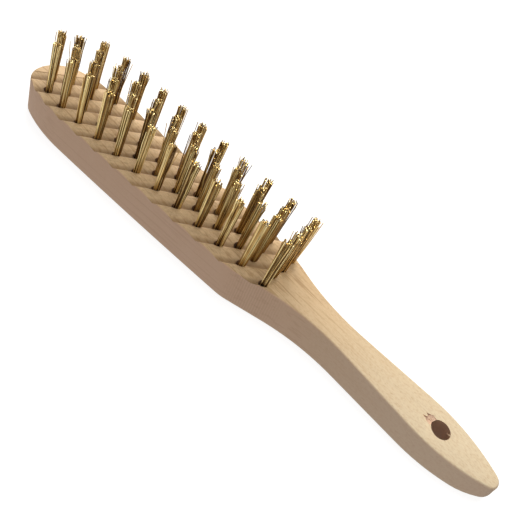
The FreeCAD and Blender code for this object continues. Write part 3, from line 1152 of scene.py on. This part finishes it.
    def splinter(self) -> None:
        """Adds the pale splinter that stands up at the handle's end of the hanging hole."""
        x = self.end - self.hang_hole + self.hang_hole_radius - 0.3
        bpy.ops.object.select_all(action="DESELECT")
        bpy.ops.mesh.primitive_cone_add(
            vertices=7,
            radius1=self.splinter_radius * MM,
            radius2=self.splinter_tip * MM,
            depth=self.splinter_length * MM,
        )
        chip = bpy.context.object
        chip.scale = (1.0, 0.6, 1.0)
        chip.rotation_euler = (math.radians(12), math.radians(-76), 0.0)
        chip.location = (x * MM, self.splinter_offset * MM, (self.handle_top(x) - 0.25) * MM)
        chip = started("splinter")
        with editing(chip):
            pick(Element.EDGE, lambda e: (e.verts[0].co - e.verts[1].co).length > 2.0 * MM)
            bpy.ops.mesh.subdivide(number_cuts=2)
            bpy.ops.mesh.select_all(action="SELECT")
            bpy.ops.transform.vertex_random(offset=0.12 * MM, uniform=1.0, normal=0.0, seed=3)
        chip.data.materials.append(self.piece.data.materials[0])
        apply_modifier(self.piece, "BOOLEAN", operation="UNION", object=chip, solver="EXACT")
        bpy.data.objects.remove(chip)

    def round_edges(self) -> None:
        """Sands the edge round the top and, a little more, the edge round the back."""
        with editing(self.piece):
            pick(
                Element.EDGE,
                lambda e: min(abs(f.normal.z) for f in e.link_faces) < 0.3
                and max(f.normal.z for f in e.link_faces) > 0.6,
            )
            bpy.ops.mesh.bevel(offset=self.top_edge_round * MM, segments=3, affect="EDGES")
            pick(
                Element.EDGE,
                lambda e: min(abs(f.normal.z) for f in e.link_faces) < 0.3
                and min(f.normal.z for f in e.link_faces) < -0.6,
            )
            bpy.ops.mesh.bevel(offset=self.back_edge_round * MM, segments=4, affect="EDGES")

    def build(
        self,
        sanded: bpy.types.Material,
        milled: bpy.types.Material,
        shaded_bore: bpy.types.Material,
        torn: bpy.types.Material,
    ) -> bpy.types.Object:
        """Makes the block.

        Args:
            sanded: finish of the outside.
            milled: finish of the rippled face.
            shaded_bore: finish inside the holes.
            torn: finish of the torn grain at the hanging hole.

        Returns:
            The piece that stands for the CAD node.
        """
        self.saw_outline()
        self.piece.data.materials.append(sanded)
        self.thin_handle()
        self.lift_end()
        self.soften_shoulders()
        self.round_edges()
        cut_away(self.piece, self.ripple_cutter(milled))
        cut_away(self.piece, self.hole_cutter(shaded_bore))
        cut_away(self.piece, self.hang_cutter(shaded_bore))
        cut_away(self.piece, self.torn_cutter(torn))
        self.splinter()
        take(self.piece)
        bpy.ops.object.shade_smooth_by_angle(angle=math.radians(40))
        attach(self.piece, BODY)
        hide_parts("block")
        return self.piece


# ---------------------------------------------------------------- the tufts
class WireShape(Enum):
    """How one wire runs from its fold to its cut end."""

    STRAIGHT = "straight"
    BOWED = "bowed"
    WAVY = "wavy"
    KINKED = "kinked"
    HOOKED = "hooked"
    STRAY = "stray"


# sideways bend of each fifth of a wire's length, in mm, and how often each shape comes
WIRE_BENDS: dict[WireShape, tuple[float, ...]] = {
    WireShape.STRAIGHT: (0.0, 0.05, 0.0, 0.05, 0.1),
    WireShape.BOWED: (0.0, 0.15, 0.35, 0.45, 0.4),
    WireShape.WAVY: (0.0, 0.2, -0.1, 0.15, -0.1),
    WireShape.KINKED: (0.0, 0.0, 0.1, 0.5, 1.3),
    WireShape.HOOKED: (0.0, 0.1, 0.1, -0.3, -1.0),
    WireShape.STRAY: (0.0, 0.4, 1.0, 2.0, 3.2),
}
WIRE_WEIGHTS: dict[WireShape, float] = {
    WireShape.STRAIGHT: 10,
    WireShape.BOWED: 5,
    WireShape.WAVY: 4,
    WireShape.KINKED: 1.2,
    WireShape.HOOKED: 0.6,
    WireShape.STRAY: 0.25,
}


@dataclass
class WireTufts:
    """The tufts: bundles of brass wires, each cut off raggedly at the top.

    Sizes are in millimetres and angles in degrees. A wire is cut short by a random length
    of about ragged, and by up to the slope across its bundle, less spare. cut_slopes are
    the least and most slope. trim keeps the longest wire under the top of the CAD tuft.
    """

    wire_diameter: float = 0.34
    wires: int = 42
    models: int = 8
    root_radius: float = 1.3
    tip_radius: float = 2.1
    lean_angle: float = 4.9
    root_offset: float = -0.34
    lean_spread: float = 0.5
    splay: float = 0.22
    ragged: float = 1.5
    spare: float = 0.9
    most_cut: float = 5.0
    trim: float = 0.7
    slant: float = 0.12
    root_lift: float = 0.1
    cut_slopes: tuple[float, float] = (0.1, 0.9)
    seed: int = 7
    rng: random.Random = field(default_factory=random.Random)

    def model_wire(
        self,
        shape: WireShape,
        length: float,
        finishes: list[bpy.types.Material],
    ) -> bpy.types.Object:
        """Models one wire standing at the origin.

        Args:
            shape: how it bends.
            length: from its fold to its cut end.
            finishes: wire and cut-end materials.

        Returns:
            The wire.
        """
        bpy.ops.object.select_all(action="DESELECT")
        bpy.ops.mesh.primitive_cylinder_add(
            vertices=6,
            radius=self.wire_diameter / 2 * MM,
            depth=length * MM,
            location=(0.0, 0.0, length / 2 * MM),
        )
        wire = started(f"wire_{shape.value}")
        wire.data.materials.append(finishes[0])
        wire.data.materials.append(finishes[1])
        bends = WIRE_BENDS[shape]
        with editing(wire):
            pick(Element.EDGE, lambda e: abs(e.verts[0].co.z - e.verts[1].co.z) > length / 2 * MM)
            bpy.ops.mesh.subdivide(number_cuts=len(bends) - 1)
            for ring, bend in enumerate(bends, start=1):
                height = length * ring / len(bends) * MM
                pick(Element.VERTEX, lambda v: abs(v.co.z - height) < 0.01 * MM)
                move(x=bend * MM)
            # the shears leave a slanting end with a bright face
            pick(Element.FACE, lambda f: f.normal.z > 0.7)
            wire.active_material_index = 1
            bpy.ops.object.material_slot_assign()
            pick(Element.VERTEX, lambda v: v.co.z > (length - 0.01) * MM and v.co.x > bends[-1] * MM)
            move(z=self.slant * MM)
        return wire

    def model_tuft(
        self,
        number: int,
        length: float,
        kinds: dict[WireShape, bpy.types.Object],
    ) -> bpy.types.Object:
        """Gathers one bundle at the origin out of copies of the wires.

        Args:
            number: which bundle it is.
            length: the longest wire.
            kinds: the modelled wires.

        Returns:
            The bundle.
        """
        golden = math.pi * (3 - math.sqrt(5))
        # the shears leave the top of a bundle on a slope of its own
        slope_turn = self.rng.uniform(0, 2 * math.pi)
        slope = self.rng.uniform(*self.cut_slopes)
        gathered = []
        for index in range(self.wires):
            share = math.sqrt((index + 0.5) / self.wires)
            turn = index * golden + self.rng.uniform(-0.25, 0.25)
            shape = self.rng.choices(list(WIRE_WEIGHTS), list(WIRE_WEIGHTS.values()))[0]
            wire = copied(kinds[shape], f"tuft_{number}_wire_{index}")
            tone = wire.data.attributes.new(WIRE_TONE, "FLOAT", "FACE")
            shade = self.rng.random()
            for face in tone.data:
                face.value = shade
            radius = share * self.root_radius * MM
            spread = share * (self.tip_radius - self.root_radius) + self.rng.gauss(0, self.splay)
            tilt = math.atan2(spread, length)
            uphill = share * self.root_radius * math.cos(turn - slope_turn)
            ragged = abs(self.rng.gauss(0, self.ragged))
            shorter = max(0.0, ragged + slope * (self.root_radius + uphill) - self.spare)
            wire.scale = (1.0, 1.0, 1.0 - min(shorter, self.most_cut) / length)
            spin = Quaternion((0, 0, 1), self.rng.uniform(0, 2 * math.pi))
            outward = Quaternion((-math.sin(turn), math.cos(turn), 0), tilt)
            wire.rotation_mode = "QUATERNION"
            wire.rotation_quaternion = outward @ spin
            wire.location = (radius * math.cos(turn), radius * math.sin(turn), 0.0)
            gathered.append(wire)
        take(gathered[0])
        for wire in gathered:
            wire.select_set(True)
        bpy.ops.object.transform_apply(location=True, rotation=True, scale=True)
        tuft = joined(gathered, f"tuft_model_{number}")
        bpy.ops.object.shade_smooth_by_angle(angle=math.radians(65))
        return tuft

    def build(
        self,
        places: dict[str, tuple[Vector, Vector]],
        finishes: list[bpy.types.Material],
    ) -> int:
        """Makes a tuft for each CAD tuft.

        Args:
            places: the lowest and highest corner of each CAD tuft.
            finishes: wire and cut-end materials.

        Returns:
            How many tufts were made.
        """
        self.rng.seed(self.seed)
        low, high = next(iter(places.values()))
        length = (high.z - low.z) / MM / math.cos(math.radians(self.lean_angle)) - self.trim
        kinds = {shape: self.model_wire(shape, length, finishes) for shape in WireShape}
        models = [self.model_tuft(number, length, kinds) for number in range(self.models)]
        for name, (low, high) in places.items():
            tuft = copied(self.rng.choice(models), f"{name}_wires")
            turn = Quaternion((0, 0, 1), self.rng.uniform(0, 2 * math.pi))
            lean_angle = self.lean_angle + self.rng.gauss(0, self.lean_spread)
            lean = Quaternion((0, 1, 0), math.radians(lean_angle))
            tuft.rotation_mode = "QUATERNION"
            tuft.rotation_quaternion = lean @ turn
            root_x = low.x + (TUFT_ROOT_RADIUS + self.root_offset) * MM
            tuft.location = (root_x, (low.y + high.y) / 2, low.z + self.root_lift * MM)
            take(tuft)
            bpy.ops.object.transform_apply(location=True, rotation=True, scale=True)
            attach(tuft, BODY)
            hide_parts(name)
        for spare in list(kinds.values()) + models:
            bpy.data.objects.remove(spare)
        return len(places)


# ---------------------------------------------------------------- the studio
@dataclass(frozen=True)
class SoftBox:
    """A square lamp with a diffuser, in metres and watts, that faces the brush."""

    name: str
    place: tuple[float, float, float]
    size: float
    power: float
    colour: str

    def hang(self) -> None:
        """Hangs the lamp in its place."""
        bpy.ops.object.light_add(type="AREA", location=self.place)
        lamp = bpy.context.object
        lamp.name = self.name
        lamp.data.shape = "SQUARE"
        lamp.data.size = self.size
        lamp.data.energy = self.power
        lamp.data.color = linear(self.colour)[:3]
        lamp.rotation_mode = "QUATERNION"
        lamp.rotation_quaternion = (-Vector(self.place)).to_track_quat("-Z", "Y")


@dataclass
class Studio:
    """A pale floor, soft lights and the camera.

    The camera looks at aim from a distance, both in millimetres, with angles in degrees.
    The floor glows a little, as white paper lit from behind does.
    """

    aim: tuple[float, float, float] = (15.0, -2.13, 17.6)
    distance: float = 282.4
    azimuth: float = 24.74
    elevation: float = 41.05
    roll: float = 24.8
    lens: float = 45.57
    floor_size: float = 8.0
    floor_gap: float = 0.2
    floor_colour: str = "#8f8f8e"
    floor_glow: float = 0.86
    sky_colour: str = "#fbfbff"
    sky_strength: float = 0.45
    soft_boxes: tuple[SoftBox, ...] = (
        SoftBox("soft_box_toe", (-0.7, 0.8, 0.62), 0.8, 13.5, "#fff6ea"),
        SoftBox("soft_box_above", (0.2, 0.3, 1.2), 0.6, 7.0, "#fffaf2"),
    )

    def floor(self) -> None:
        """Lays the floor under the back of the brush."""
        bpy.ops.object.select_all(action="DESELECT")
        place = (0.0, 0.0, -self.floor_gap * MM)
        bpy.ops.mesh.primitive_plane_add(size=self.floor_size, location=place)
        floor = started("floor")
        m = blank("floor_white")
        surface = node(
            m,
            "BsdfPrincipled",
            {
                "Base Color": linear(self.floor_colour),
                "Roughness": 0.9,
                "Specular IOR Level": 0.0,
                "Emission Color": linear("#ffffff"),
                "Emission Strength": self.floor_glow,
            },
        )
        node(m, "OutputMaterial", {"Surface": surface.outputs[0]})
        floor.data.materials.append(m)
        # its glow is kept off the wood, as black cards beside the brush would keep it
        floor.visible_diffuse = False

    def lights(self) -> None:
        """Sets the sky light and the soft boxes."""
        world = bpy.data.worlds.new("studio_air")
        bpy.context.scene.world = world
        world.use_nodes = True
        sky = world.node_tree.nodes["Background"]
        sky.inputs["Color"].default_value = linear(self.sky_colour)
        sky.inputs["Strength"].default_value = self.sky_strength
        for soft_box in self.soft_boxes:
            soft_box.hang()

    def camera(self) -> None:
        """Places the camera and levels it to the object's slant in the view."""
        azimuth, elevation = math.radians(self.azimuth), math.radians(self.elevation)
        level = Vector((math.sin(azimuth), -math.cos(azimuth), 0.0)) * math.cos(elevation)
        back = level + Vector((0.0, 0.0, math.sin(elevation)))
        bpy.ops.object.camera_add(location=Vector(self.aim) * MM + back * self.distance * MM)
        camera = bpy.context.object
        camera.name = "camera"
        camera.rotation_mode = "QUATERNION"
        tilt = Quaternion((0, 0, 1), math.radians(self.roll))
        camera.rotation_quaternion = (-back).to_track_quat("-Z", "Y") @ tilt
        camera.data.lens = self.lens
        camera.data.clip_start = 0.01
        bpy.context.scene.camera = camera

    def build(self) -> None:
        """Sets up the studio."""
        self.floor()
        self.lights()
        self.camera()
        bpy.context.scene.view_settings.view_transform = "Standard"


def main() -> None:
    """Builds the brush piece by piece and reports each."""
    logging.basicConfig(level=logging.INFO, format="%(name)s: %(message)s")
    tuft_names = [name for name in sorted(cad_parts) if name.startswith("tuft_")]
    tuft_boxes = {name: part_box(name) for name in tuft_names}
    places = [
        (low.x / MM + TUFT_ROOT_RADIUS, (low.y + high.y) / 2 / MM)
        for low, high in tuft_boxes.values()
    ]
    sanded = Beech().make()
    # the rippled face's grain is darker, partly painted shade of the tufts over it, and its valleys
    # get painted shade
    milled = Beech(name="beech_milled", grain="#94724a", valley_floor=16.4).make()
    # painted shade: the walls inside the holes are coloured far darker than the wood, for the shade
    # deep in them
    shaded_bore = Beech(
        name="beech_bored_shaded",
        pale="#8d6e4e",
        warm="#6f5236",
        grain="#50361e",
        head_shade="#5c4028",
    ).make()
    torn = Beech(name="beech_torn", pale="#ecd0b6", warm="#cba384", grain="#8a5f45").make()
    block = BeechBlock(tuft_places=places)
    log.info("block: %d faces", len(block.build(sanded, milled, shaded_bore, torn).data.polygons))
    wire = BrassWire().make()
    cut_end = BrassWire(
        name="brass_cut_end",
        bright="#fff0b8",
        worn="#ffe39a",
        tarnished="#e0b45c",
        roughness=0.25,
    ).make()
    log.info("tufts: %d", WireTufts().build(tuft_boxes, [wire, cut_end]))
    steel = Steel().make()
    for name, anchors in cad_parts.items():
        if name.startswith("anchors_"):
            anchors.data.materials.clear()
            anchors.data.materials.append(steel)
            log.info("%s: steel finish", name)
    Studio().build()
    bpy.context.view_layer.update()


if __name__ == "__main__":
    main()
